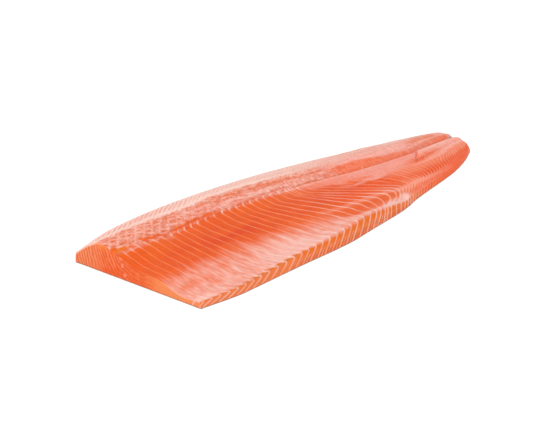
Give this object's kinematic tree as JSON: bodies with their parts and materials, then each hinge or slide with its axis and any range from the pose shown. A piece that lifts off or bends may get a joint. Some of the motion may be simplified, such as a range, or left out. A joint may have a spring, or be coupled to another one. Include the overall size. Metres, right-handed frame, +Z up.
{
  "type": "raw salmon fillet",
  "caption": "Whole raw side of salmon lying skin side down, thick along the back, thin at the belly flap and tapering to a blunt tail.",
  "frame": {"origin": "middle of the underside's bounding box, on the surface the fillet lies on", "axes": "+X from the head cut towards the tail, +Y towards the back edge, +Z up out of the flesh side; the skin side faces -Z"},
  "size_m": [0.6082, 0.2076, 0.0367],
  "materials": {
    "flesh": "moist raw fish, orange-pink with white seams between the flakes, silver-grey skin beneath"
  },
  "bodies": {
    "root": {"fillet": "flesh"}
  },
  "joints": []
}
